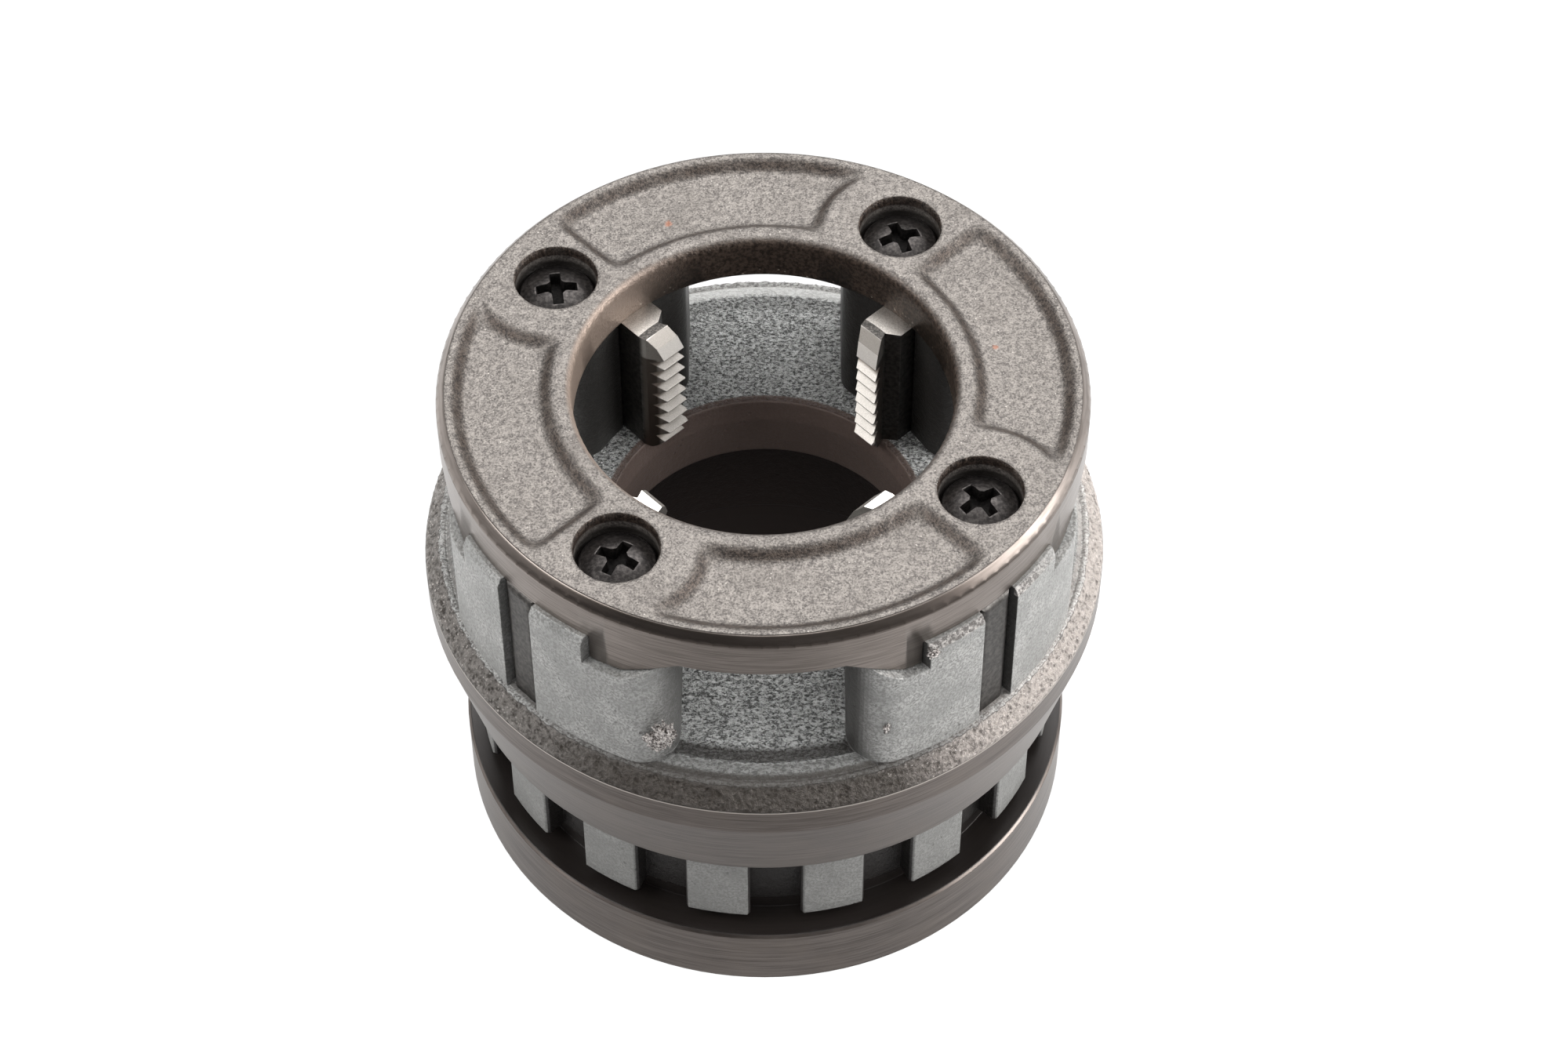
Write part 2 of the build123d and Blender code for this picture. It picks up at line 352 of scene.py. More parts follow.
def body_masks(g):
    """Where each finish of the body lies, from 0 to 1."""
    r = g.radius()
    z = g.height()
    up = g.facing()
    at = SimpleNamespace()

    # Machined: bottom ring, flange wall, and a painted highlight along its upper edge
    flange = g.times(g.between(z, FLANGE_LOW - 0.1, FLANGE_HIGH, 0.04),
                     g.ramp(r, TURNED_IN, TURNED_IN + 0.2))
    at.turned = g.most(flange, g.fall(z, GROOVE_TOP - 0.1, GROOVE_TOP + 0.1))
    at.crisp = g.times(g.between(z, FLANGE_HIGH - 0.22, FLANGE_HIGH + 0.05, 0.06),
                       g.ramp(r, FLANGE_RADIUS - 0.4, FLANGE_RADIUS - 0.2))

    # Teeth of the drive band, and the spaces and groove between and below them, dark oxide with painted
    # shade
    teeth = g.between(z, GROOVE_TOP, FLANGE_LOW, 0.1)
    at.tooth = g.times(teeth, g.ramp(r, TOOTH_ROOT, TOOTH_ROOT + 0.15))
    spaces = g.times(teeth, g.fall(r, TOOTH_ROOT, TOOTH_ROOT + 0.15))
    groove = g.times(g.between(z, RING_TOP - 0.1, GROOVE_TOP, 0.05),
                     g.fall(r, GROOVE_RADIUS, GROOVE_RADIUS + 0.3))
    at.dark = g.most(spaces, groove)

    # Rough cone, the lip above it, and the window floors with their valley, where shade is painted, and
    # border
    at.band = g.times(g.between(z, FLANGE_HIGH + 0.02, FLOOR - 0.4, 0.05),
                      g.ramp(r, POST_RADIUS - 0.2, POST_RADIUS + 0.1))
    at.lip = g.times(g.between(z, FLOOR - 0.7, FLOOR + 0.2, 0.1), g.ramp(r, 43.0, 44.4))
    at.floor = g.times(g.ramp(up, 0.5, 0.7), g.between(z, FLOOR - 0.3, FLOOR + 0.7, 0.05),
                       g.fall(r, FLOOR_OUT - 0.1, FLOOR_OUT + 0.1))
    at.valley = g.times(g.between(z, FLOOR - 0.6, FLOOR + 0.7, 0.1),
                        g.between(r, VALLEY_IN, VALLEY_OUT, 0.55))
    at.border = g.times(at.floor, g.ramp(r, BORDER_IN, BORDER_IN + 0.7))
    at.foot = g.times(g.between(z, FLOOR - 0.4, FLOOR + 2.2, 0.2), g.fall(r, FLOOR_OUT, FLOOR_OUT + 0.2))

    # Posts: painted shade on the flanks beside the windows, stronger on the right, and on the inner faces;
    # and the chipped bevel of one post
    post = g.times(g.ramp(z, FLOOR, FLOOR + 0.5), g.between(up, -0.5, 0.5, 0.1))
    turned_in = g.fall(g.outward(), 0.35, g.across("X", 4, 14, 0.9, 0.99))
    at.flank = g.times(post, turned_in, g.across("X", 4, 14, 0.52, 0.92))
    at.inner = g.times(post, g.fall(r, 26.3, 31.0))
    at.bevel = g.times(g.between(z, BODY_TOP - 1.3, BODY_TOP, 0.15), g.between(r, 44.5, 45.3, 0.05),
                       g.across("X", 12, 18), g.across("Y", -20, -30))

    # Inside: skirt cavity and guide bore
    at.cavity = g.times(g.fall(z, GUIDE_LOW - 0.1, GUIDE_LOW + 0.1),
                        g.fall(r, SKIRT_RADIUS + 0.2, SKIRT_RADIUS + 0.6))
    at.inside = g.fall(r, GUIDE_RADIUS + 1.2, GUIDE_RADIUS + 1.6)
    return at


def cast_skin(g, at):
    """Colour and relief of the plain casting, with painted shade on the window flanks and the inner post
    faces.
    """
    soft = g.noise(6, 3)
    mottled = g.mix(g.ramp(soft, 0.35, 0.65), tone(158, 158, 155), tone(184, 183, 180))
    fine = g.noise(0.35, 3, 0.65)
    skin = g.mix(g.ramp(fine, 0.36, 0.64), tone(134, 133, 130), mottled)
    pits = g.times(g.fall(g.cells(1.6), 0.09, 0.2), g.ramp(g.noise(2.3), 0.5, 0.62))
    skin = g.mix(g.times(pits, 0.45), skin, tone(80, 77, 74))
    skin = g.mix(g.times(at.tooth, 0.55), skin, tone(116, 115, 112))
    # Painted shade on the window flanks and, below, on the inner faces of the posts
    skin = g.mix(at.flank, skin, tone(66, 64, 62))
    skin = g.mix(g.times(at.inner, 0.9), skin, tone(44, 42, 40))
    chips = g.ramp(g.noise(0.6, 4, 0.7), 0.4, 0.6)
    skin = g.mix(g.times(at.bevel, 0.8), skin, g.mix(chips, tone(96, 90, 86), tone(206, 200, 195)))
    relief = g.total((fine, 0.08), (g.noise(0.8), 0.13), (g.noise(1.8), 0.12), (soft, 0.1), (pits, -0.12))
    return skin, g.blend(at.bevel, relief, g.times(chips, 0.12))


def floor_skin(g, at):
    """Colour and relief of the window floors, with painted glints in the grain, painted light and shade on
    the border, and painted shade in the valley.
    """
    peel = g.total((g.noise(0.42, 3, 0.6, g.scaled((0.75, 1.15, 1)), 0.6), 0.7),
                   (g.noise(0.2, 3, 0.65), 0.3))
    # Grain in colour, whose light end is partly painted glints
    skin = g.mix(g.ramp(peel, 0.39, 0.61), tone(98, 98, 97), tone(238, 239, 236))
    # Painted light and shade on the border: darker at the front, lighter at the back
    far = g.across("Y", -20, 20)
    border = g.mix(far, tone(92, 91, 88), tone(206, 205, 202))
    skin = g.mix(g.times(at.border, 0.75), skin, border)
    # Painted shade in the valley, stronger at the front than at the back
    return g.mix(g.times(at.valley, g.blend(far, 0.85, 0.3)), skin, tone(62, 58, 55)), peel


def band_skin(g):
    """Colour and relief of the rough cone, with painted shade at the front, painted light on the right, and
    painted glints at the sides.
    """
    coarse = g.total((g.noise(0.8, 4, 0.65, distortion=0.4), 0.6), (g.cells(0.7), 0.25),
                     (g.noise(0.3, 3, 0.7), 0.25))
    skin = g.mix(g.ramp(coarse, 0.38, 0.64), tone(66, 61, 56), tone(136, 131, 126))
    # Painted shade: the front of the cone darker
    skin = g.mix(g.times(g.across("Y", -34, -44), 0.72), skin, tone(58, 51, 45))
    # Painted light: the right side of the cone lighter
    skin = g.mix(g.times(g.across("X", 16, 34), g.ramp(coarse, 0.36, 0.62, 0.25, 0.78)), skin,
                 tone(210, 200, 193))
    # Painted glints: bright specks at the right and left of the cone
    grains = g.times(g.fall(g.cells(0.55), 0.16, 0.34), g.ramp(g.noise(1.1), 0.42, 0.55),
                     g.most(g.across("X", 10, 30), g.across("X", -26, -42)))
    return g.mix(g.times(grains, 0.6), skin, tone(232, 224, 218)), coarse


def turned_skin(g, at):
    """Colour and relief of the machined faces, with a painted highlight along the flange's upper edge."""
    lines = g.total((g.noise(0.16, 2, 0.7, g.turning()), 0.6), (g.noise(0.6, 3, 0.7, g.turning(25)), 0.4))
    skin = g.mix(g.ramp(lines, 0.3, 0.7), tone(84, 77, 73), tone(124, 116, 111))
    skin = g.mix(g.ramp(g.noise(9, 3), 0.4, 0.7, 0.0, 0.35), skin, tone(118, 108, 100))
    # Painted highlight: a light line along the flange's upper edge
    return g.mix(at.crisp, skin, tone(196, 187, 179)), lines


def body_material(name, round_edges=True):
    """Cast skin, machined ring and flange, rough cone and floors, and dark inside."""
    g = Graph(name)
    at = body_masks(g)
    cast, cast_relief = cast_skin(g, at)
    floor_tone, peel = floor_skin(g, at)
    band_tone, coarse = band_skin(g)
    metal, lines = turned_skin(g, at)

    # Lip between floor and cone, with painted shade at the front
    lip_tone = g.mix(g.times(g.across("Y", -30, -44), 0.78), g.mix(0.5, floor_tone, band_tone),
                     tone(70, 65, 60))
    color = g.mix(at.floor, cast, floor_tone)
    color = g.mix(at.lip, color, lip_tone)
    color = g.mix(at.band, color, band_tone)
    color = g.mix(at.turned, color, metal)
    # Dark oxide and painted shade in the tooth spaces and the groove
    color = g.mix(g.times(at.dark, 0.95), color, tone(30, 25, 23))
    color = g.mix(g.times(at.inside, 0.92), color, tone(118, 100, 92))
    color = g.mix(g.times(at.cavity, 0.97), color, tone(76, 63, 58))

    relief = g.blend(at.floor, cast_relief, g.times(peel, g.blend(at.border, 0.95, 0.35)))
    relief = g.blend(at.lip, relief, g.times(peel, 0.4))
    relief = g.blend(at.band, relief, g.times(coarse, 0.95))
    relief = g.blend(at.turned, relief, g.times(lines, 0.012))
    edge = g.blend(at.turned, g.blend(at.foot, 0.28, 1.3), 0.22)

    metallic = g.blend(at.turned, 0.35, 0.85)
    metallic = g.blend(g.most(at.floor, at.band), metallic, 0.6)
    metallic = g.blend(g.most(at.border, at.lip), metallic, 0.2)
    metallic = g.blend(g.most(at.dark, at.cavity, at.inside), metallic, 0.25)
    rough = g.blend(at.turned, 0.46, 0.36)
    rough = g.blend(at.floor, rough, 0.24)
    rough = g.blend(at.band, rough, 0.34)
    rough = g.blend(g.most(at.border, at.lip), rough, 0.6)
    return g.finish(color, metallic, rough, g.bump(relief, g.rounded(edge) if round_edges else None))


def cover_material():
    """Warm cast face with panel walls dark from stain and painted shade, brown bore painted lighter at the
    left, painted shade under the cover, and turned rim.
    """
    g = Graph("cover_cast")
    r = g.radius()
    z = g.height()
    bore = g.fall(r, BORE_RADIUS + 0.1, BORE_RADIUS + 1.0)
    chamfer_edge = COVER_RADIUS - CHAMFER_IN
    rim = g.most(g.ramp(r, chamfer_edge - 0.15, chamfer_edge), g.fall(z, BODY_TOP - 0.1, BODY_TOP))
    wall = g.times(g.fall(g.facing(), 0.7, 0.99), g.ramp(z, COVER_TOP - 1.7, COVER_TOP - 1.4),
                   g.fall(r, 42.4, 42.6), g.ramp(r, 27.6, 28.0))
    # Painted shade on the underside of the cover
    pocket = g.times(g.fall(z, COVER_TOP - 3.0, COVER_TOP - 1.9), g.between(r, 27, 42))

    grain = g.total((g.noise(0.3, 2, 0.7), 0.6), (g.noise(0.78), 0.4))
    face = g.mix(g.ramp(grain, 0.35, 0.65), tone(74, 69, 66), tone(138, 132, 126))
    stain = g.ramp(g.noise(7, 3), 0.45, 0.75, 0.0, 0.35)
    face = g.mix(stain, face, tone(88, 82, 77))
    specks = g.times(g.fall(g.cells(0.8), 0.06, 0.16), g.ramp(g.noise(1.4), 0.5, 0.58))
    face = g.mix(g.times(specks, 0.6), face, tone(205, 198, 190))

    ring = g.noise(0.14, 2, 0.7, g.turning())
    turned = g.mix(g.ramp(ring, 0.3, 0.7), tone(112, 104, 98), tone(144, 135, 129))
    shade = g.times(g.between(z, COVER_TOP - CHAMFER_DOWN - 0.1, COVER_TOP - 0.1, 0.1),
                    g.across("Y", -18, -36))
    turned = g.mix(g.times(shade, 0.8), turned, tone(72, 64, 59))
    brown = g.mix(g.ramp(g.noise(0.5, 3), 0.35, 0.65), tone(48, 39, 33), tone(88, 75, 66))
    # Painted light: the bore wall lighter at the left
    brown = g.mix(g.times(g.across("X", -8, -24), 0.9), brown, tone(166, 148, 135))
    glints = g.times(g.fall(g.cells(0.9), 0.1, 0.25), g.between(z, BODY_TOP, BODY_TOP + 1.3, 0.2))
    brown = g.mix(g.times(glints, 0.7), brown, tone(190, 178, 165))

    # Panel walls: dark brown, partly stain and partly painted shade
    patchy = g.ramp(g.noise(3.2, 2), 0.3, 0.6, 0.7, 0.95)
    stained = g.mix(g.ramp(grain, 0.4, 0.6), tone(30, 22, 18), tone(74, 61, 52))
    color = g.mix(g.times(wall, patchy), face, stained)
    for x, y, size in RUST:
        ragged = g.plus(g.away(x, y), g.times(g.noise(0.7, 3), 0.9))
        color = g.mix(g.ramp(ragged, size, size + 0.5, 0.55, 0.0), color, tone(150, 84, 48))
    color = g.mix(rim, color, turned)
    color = g.mix(bore, color, brown)
    color = g.mix(pocket, color, tone(42, 38, 35))
    relief = g.total((grain, 0.16), (g.noise(1.1, 3), 0.1), (g.noise(5, 2), 0.1))
    relief = g.blend(rim, relief, g.times(ring, 0.01))
    edge = g.blend(rim, 0.5, 0.18)
    metallic = g.blend(rim, 0.5, 0.85)
    rough = g.blend(rim, 0.42, 0.3)
    return g.finish(color, metallic, rough, g.bump(relief, g.rounded(edge)))


def die_material():
    """Ground top, bevel and teeth, dark oxide sides and back, with painted shade towards the thread roots
    and painted light and shade on the top strip.
    """
    g = Graph("die_steel")
    r = g.radius()
    up = g.facing()
    toothed = g.fall(r, TEETH_OUT, TEETH_OUT + 0.1)
    top = g.times(g.ramp(up, 0.6, 0.8), g.fall(r, GROUND_OUT, GROUND_OUT + 1.0))
    ground = g.most(g.fall(r, 21.5, 22.2), top)
    nose = g.times(g.between(up, 0.52, 0.72, 0.04), toothed)
    lead = g.times(g.between(up, 0.25, 0.45, 0.04), toothed,
                   g.ramp(g.height(), DIE_TOP - 4.0, DIE_TOP - 3.8))
    # Painted shade towards the thread roots
    root = g.times(g.ramp(r, 19.5, 20.0), g.fall(g.height(), LEAD_LOW, LEAD_LOW + 0.4))
    # Strip along the top, a tilted facet drawn flat: painted reflection, near white on the near chasers,
    # and painted shade on the far ones
    strip = g.times(g.ramp(up, 0.85, 0.95), g.fall(r, STRIP_OUT, STRIP_OUT + 0.1),
                    g.ramp(r, TEETH_OUT, TEETH_OUT + 0.1))
    near = g.across("Y", 5, -5)

    lines = g.noise(0.18, 2, 0.7, g.scaled((1, 1, 6)))
    streaks = g.ramp(lines, 0.3, 0.7)
    bright = g.mix(streaks, tone(158, 153, 147), tone(192, 187, 181))
    bright = g.mix(lead, bright, g.mix(streaks, tone(196, 190, 183), tone(222, 217, 210)))
    bright = g.mix(nose, bright, g.mix(streaks, tone(134, 129, 123), tone(158, 153, 147)))
    bright = g.mix(g.times(root, 0.92), bright, tone(84, 75, 68))
    oxide = g.mix(g.ramp(g.noise(0.6, 3), 0.3, 0.7), tone(62, 60, 58), tone(92, 89, 86))
    worn = g.mix(g.ramp(g.noise(0.3, 3), 0.4, 0.7), tone(62, 59, 56), tone(112, 107, 102))
    color = g.mix(ground, oxide, bright)
    color = g.mix(strip, color, g.mix(near, worn, tone(206, 203, 199)))

    metallic = g.blend(lead, 0.9, 0.2)
    metallic = g.blend(strip, metallic, g.blend(near, 0.4, 0.85))
    rough = g.blend(nose, g.blend(ground, 0.42, 0.36), 0.5)
    rough = g.blend(strip, rough, g.blend(near, 0.55, 0.3))
    return g.finish(color, metallic, rough, g.bump(g.times(lines, 0.006), g.rounded(0.1)))


def burr_material():
    """Bright torn cast metal."""
    g = Graph("cast_burr")
    fine = g.noise(0.35, 3)
    color = g.mix(g.ramp(fine, 0.38, 0.62), tone(84, 77, 73), tone(230, 223, 218))
    return g.finish(color, 0.5, 0.32, g.bump(g.times(fine, 0.3)))


def screw_material():
    """Black oxide with a soft sheen."""
    g = Graph("screw_black")
    fine = g.noise(0.5, 3)
    color = g.mix(g.ramp(fine, 0.35, 0.7), tone(40, 37, 36), tone(72, 68, 66))
    rough = g.ramp(g.noise(1.8, 3), 0.3, 0.7, 0.28, 0.45)
    return g.finish(color, 0.75, rough, g.bump(g.times(fine, 0.012), g.rounded(0.08)))


def recess_material():
    """Driver recess of a screw, painted dark as shade."""
    g = Graph("screw_recess")
    fine = g.noise(0.4, 3)
    color = g.mix(g.ramp(fine, 0.35, 0.7), tone(12, 11, 10), tone(30, 27, 26))
    return g.finish(color, 0.0, 0.7, g.bump(g.times(fine, 0.02)), 0.08)


def dress(obj, *materials):
    """Gives an object its materials. Clearing resets the faces, so a bare mesh isn't cleared."""
    if len(obj.data.materials):
        obj.data.materials.clear()
    for material in materials:
        obj.data.materials.append(material)


def smooth(mesh, angle=35):
    """Smooth faces, with edges sharper than an angle kept."""
    mesh.shade_smooth()
    mesh.set_sharp_from_angle(angle=math.radians(angle))


def new_mesh(name, verts, faces, angle):
    """A smooth mesh from points in metres."""
    mesh = bpy.data.meshes.new(name)
    mesh.from_pydata(verts, [], faces)
    smooth(mesh, angle)
    return mesh


def ring_quads(rows, cols, flip=False):
    """Faces between closed rings of points."""
    faces = []
    for j in range(rows - 1):
        for i in range(cols):
            k = (i + 1) % cols
            a, b, c, d = j * cols + i, j * cols + k, (j + 1) * cols + k, (j + 1) * cols + i
            faces.append((b, a, d, c) if flip else (a, b, c, d))
    return faces


def soft_min(values, k):
    """Smallest of several arrays, with corners rounded by k."""
    values = np.stack(values)
    low = values.min(axis=0)
    return low - k * np.log(np.exp(-(values - low) / k).sum(axis=0))


def screw_centres():
    """Screw axes in plan."""
    turns = [math.radians(SCREW_ANGLE + 90 * k) for k in range(4)]
    return [(SCREW_CIRCLE * math.cos(a), SCREW_CIRCLE * math.sin(a)) for a in turns]


def half_turn(angle):
    """An angle as one from -pi to pi."""
    return (angle + math.pi) % (2 * math.pi) - math.pi


def panel_inset(x, y):
    """Distance inside the nearest kidney panel."""
    outside = -99.0
    r = np.hypot(x, y)
    best = np.full(len(x), outside)
    for k, (cx, cy) in enumerate(screw_centres()):
        turn = half_turn(math.radians(SCREW_ANGLE + 90 * (k + 1) - PANEL_END) - np.arctan2(y, x))
        end = np.where(np.abs(turn) < math.pi / 2, r * np.sin(turn), outside)
        ahead = half_turn(np.arctan2(y, x) - math.radians(SCREW_ANGLE + 90 * k))
        start = np.where(np.abs(ahead) < math.pi / 2, r * np.sin(ahead), np.where(ahead > 0, 40.0, outside))
        clear = np.hypot(x - cx, y - cy) - PANEL_SCREW_CLEAR
        inset = soft_min([PANEL_OUTER - r, r - PANEL_INNER, end - 0.5, clear, start], PANEL_CORNER / 4)
        best = np.maximum(best, inset)
    return best


def quarter(distance, radius):
    """Drop of a rounded lip at a distance from its wall."""
    d = np.clip(radius - distance, 0, radius)
    return radius - np.sqrt(radius ** 2 - d ** 2)


def face_height(x, y):
    """Height of the cover's face."""
    r = np.hypot(x, y)
    t = np.clip(panel_inset(x, y) / PANEL_WALL + 0.5, 0, 1)
    z = COVER_TOP - PANEL_DEPTH * t * t * (3 - 2 * t)
    z -= quarter(r - BORE_RADIUS, BORE_LIP)
    for cx, cy in screw_centres():
        z -= quarter(np.hypot(x - cx, y - cy) - SCREW_RECESS, RECESS_LIP)
    chamfer = COVER_TOP - CHAMFER_DOWN + (COVER_RADIUS - r) * (CHAMFER_DOWN / CHAMFER_IN)
    return soft_min([z, chamfer], LIP_BLUR)


def ring_points(cx, cy, radii, count):
    """Points on circles about a centre."""
    a = np.linspace(0, 2 * math.pi, count, endpoint=False)
    return [np.stack([cx + q * np.cos(a), cy + q * np.sin(a)], axis=1) for q in radii]


def hex_grid(reach, step):
    """Points of a triangular grid."""
    rows = np.arange(-reach, reach, step * math.sqrt(0.75))
    cols = np.arange(-reach, reach, step)
    x, y = np.meshgrid(cols, rows)
    x = x + (np.arange(len(rows)) % 2)[:, None] * step / 2
    return np.stack([x.ravel(), y.ravel()], axis=1)


def lip_steps(radius):
    """Distances from a wall at which a rounded lip gets a ring."""
    return [radius * (1 - math.cos(a)) for a in np.linspace(0.1, math.pi / 2, 7)]


def cut_cover():
    """The CAD cover without its face."""
    bm = bmesh.new()
    bm.from_mesh(nodes["cover_plate"].data)
    bmesh.ops.remove_doubles(bm, verts=bm.verts, dist=1e-6)
    parts = bm.verts[:] + bm.edges[:] + bm.faces[:]
    bmesh.ops.bisect_plane(bm, geom=parts, plane_co=(0, 0, CUT_HEIGHT * MM), plane_no=(0, 0, 1),
                           clear_outer=True, dist=1e-7)
    bmesh.ops.remove_doubles(bm, verts=bm.verts, dist=1e-6)
    return bm


def loop_groups(loop):
    """Which opening or rim each point of the cut belongs to."""
    group = np.full(len(loop), RIM)
    group[np.hypot(*loop.T) < BORE_RADIUS + 1] = BORE
    for k, (cx, cy) in enumerate(screw_centres()):
        group[np.hypot(loop[:, 0] - cx, loop[:, 1] - cy) < SCREW_RECESS + 1] = FIRST_RECESS + k
    return group


def face_points(rim_loop):
    """Points of the cover's face: rings along its lips and a grid between them."""
    margin = 0.2
    edge_rings = [COVER_RADIUS - d for d in RIM_STEPS]
    bore_rings = [BORE_RADIUS + d for d in lip_steps(BORE_LIP)]
    sets = [rim_loop * (1 - RIM_INSET / COVER_RADIUS)]
    sets += ring_points(0, 0, edge_rings, RIM_POINTS) + ring_points(0, 0, bore_rings, BORE_POINTS)
    grid = hex_grid(COVER_RADIUS, FACE_STEP)
    r = np.hypot(*grid.T)
    keep = (r < min(edge_rings) - margin) & (r > max(bore_rings) + margin)
    for cx, cy in screw_centres():
        lips = [SCREW_RECESS + d for d in lip_steps(RECESS_LIP)[::2]]
        sets += ring_points(cx, cy, lips, RECESS_POINTS)
        keep &= np.hypot(grid[:, 0] - cx, grid[:, 1] - cy) > SCREW_RECESS + RECESS_LIP + margin
    return sets + [grid[keep]]


def cover_mesh():
    """Cover whose face has soft panel walls and rounded lips, on the CAD's sides and pads."""
    bm = cut_cover()
    cut_edges = [e for e in bm.edges if e.is_boundary]
    index = {}
    for e in cut_edges:
        for v in e.verts:
            index.setdefault(v, len(index))
    verts = list(index)
    loop = np.array([(v.co.x / MM, v.co.y / MM) for v in verts])
    edges = [(index[e.verts[0]], index[e.verts[1]]) for e in cut_edges]
    group = loop_groups(loop)
    points = np.concatenate([loop] + face_points(loop[group == RIM]))
    group = np.concatenate([group, np.full(len(points) - len(loop), FREE)])
    heights = face_height(points[:, 0], points[:, 1])

    out = delaunay_2d_cdt([Vector(p) for p in points], edges, [], 0, 1e-7, True)
    flat, _, faces, origin = out[:4]
    source = [o[0] for o in origin]
    corners = []
    for p, s in zip(flat, source):
        if s < len(verts):
            corners.append(verts[s])
        else:
            corners.append(bm.verts.new((p.x * MM, p.y * MM, heights[s] * MM)))
    for face in faces:
        owners = {group[source[k]] for k in face}
        if len(owners) > 1 or owners & {FREE, RIM}:
            bm.faces.new([corners[k] for k in face])
    bmesh.ops.recalc_face_normals(bm, faces=bm.faces)

    mesh = bpy.data.meshes.new("cover_face")
    bm.to_mesh(mesh)
    bm.free()
    smooth(mesh)
    for e in mesh.edges:
        if all(abs(mesh.vertices[k].co.z / MM - CUT_HEIGHT) < 0.001 for k in e.vertices):
            e.use_edge_sharp = True
    return mesh


def cross_outline():
    """Angles and radii of the driver recess: four arms that meet in a squarish middle."""
    corner = math.atan2(CROSS_ARM, CROSS_HALF)
    near = [0, 0.3, 0.6, 0.8, 0.93, 1.0, 1.07, 1.2, 1.4, 1.7, 2.1, 2.6]
    half = [corner * t for t in near] + [math.pi / 4 * t for t in (0.8, 0.9, 1.0)]
    both = half + [-a for a in half]
    turns = sorted({round(k * math.pi / 2 + a, 6) for k in range(4) for a in both})
    turns = np.array([t for t in turns if t > -math.pi / 4 + 1e-5])
    lean = np.abs((turns + math.pi / 4) % (math.pi / 2) - math.pi / 4)
    tip = CROSS_HALF / np.cos(lean)
    side = CROSS_ARM / np.maximum(np.sin(lean), 1e-6)
    arms = soft_min([tip, side], LIP_BLUR)
    web = -soft_min([-arms, np.full(len(turns), -CROSS_WEB)], LIP_BLUR)
    return turns, web


def close_ends(rings, faces):
    """Points of the rings with a middle point for each end, and the fans round the two."""
    verts = [tuple(p) for ring in rings for p in ring]
    n = len(rings[0])
    for ring, flip in ((0, True), (len(rings) - 1, False)):
        centre = len(verts)
        verts.append(tuple(np.mean(rings[ring], axis=0)))
        for i in range(n):
            a, b = ring * n + i, ring * n + (i + 1) % n
            faces.append((b, a, centre) if flip else (a, b, centre))
    return verts


def dome(r):
    """Height of a screw head's domed top."""
    sphere = (HEAD_RADIUS ** 2 + HEAD_DOME ** 2) / (2 * HEAD_DOME)
    return HEAD_TOP - (sphere - np.sqrt(sphere ** 2 - r ** 2))


def head_rings(turns, reach):
    """Rings of points of a screw on its own axis, from the tip to the recess's floor."""
    n = len(turns)
    way = np.stack([np.cos(turns), np.sin(turns)], axis=1)
    outline = way * reach[:, None]

    def circle(radius, z):
        return np.column_stack([way * radius, np.full(n, z)])

    rings = [circle(SHANK_RADIUS, HEAD_LOW - SHANK_LENGTH), circle(SHANK_RADIUS, HEAD_LOW),
             circle(HEAD_RADIUS - 0.1, HEAD_LOW), circle(HEAD_RADIUS, HEAD_LOW + 0.1)]
    low = float(dome(np.array(HEAD_RADIUS - HEAD_ROUND)))
    for a in np.linspace(0, math.pi / 2, 6):
        rings.append(circle(HEAD_RADIUS - HEAD_ROUND * (1 - math.cos(a)),
                            low - HEAD_ROUND * (1 - math.sin(a)) * 0.9))
    rim = way * (HEAD_RADIUS - HEAD_ROUND)
    for t in np.linspace(0.08, 1, 12):
        flat = rim * (1 - t) + outline * 1.05 * t
        rings.append(np.column_stack([flat, dome(np.hypot(*flat.T))]))
    for scale, drop in ((1.02, 0.04), (0.99, 0.14)):
        flat = outline * scale
        rings.append(np.column_stack([flat, dome(np.hypot(*flat.T)) - drop]))
    for scale, drop in ((0.95, CROSS_DEPTH * 0.6), (0.88, CROSS_DEPTH)):
        rings.append(np.column_stack([outline * scale, np.full(n, HEAD_TOP - drop)]))
    return rings


def screw_mesh(number):
    """Pan head screw: shank, head with rounded edge and dome, and cross recess."""
    turns, reach = cross_outline()
    n = len(turns)
    rings = head_rings(turns, reach)
    faces = ring_quads(len(rings), n)
    verts = close_ends(rings, faces)
    cx, cy = screw_centres()[number]
    turn = math.radians(CROSS_TURNS[number])
    c, s = math.cos(turn), math.sin(turn)
    placed = [((cx + x * c - y * s) * MM, (cy + x * s + y * c) * MM, z * MM) for x, y, z in verts]
    mesh = new_mesh("screw_%d" % (number + 1), placed, faces, 40)
    recess_start = (len(rings) - 4) * n
    for face in mesh.polygons:
        face.material_index = int(min(face.vertices) >= recess_start)
    return mesh


def lump(p, fine, octaves, coarse):
    """Height of rough casting at a point, with grains of two sizes in millimetres."""
    return noise.fractal(p / fine, 0.7, 2.1, octaves) + 0.5 * noise.noise(p / coarse)


def band_mesh():
    """Rough cast cone between the flange and the posts, with a ridge along the window floors."""
    tilt = math.radians(BAND_TILT)
    verts = []
    for r, z, grit, base in BAND_RINGS:
        for i in range(BAND_POINTS):
            a = 2 * math.pi * i / BAND_POINTS
            p = Vector((r * math.cos(a), r * math.sin(a), z))
            lift = base + grit * (BAND_GRIT + BAND_GRIT * max(-0.7, min(1.3, lump(p, 0.8, 4, 2.7))))
            out = r + lift * math.cos(tilt)
            verts.append((out * math.cos(a) * MM, out * math.sin(a) * MM,
                          (z + lift * math.sin(tilt)) * MM))
    return new_mesh("cast_band", verts, ring_quads(len(BAND_RINGS), BAND_POINTS), 80)


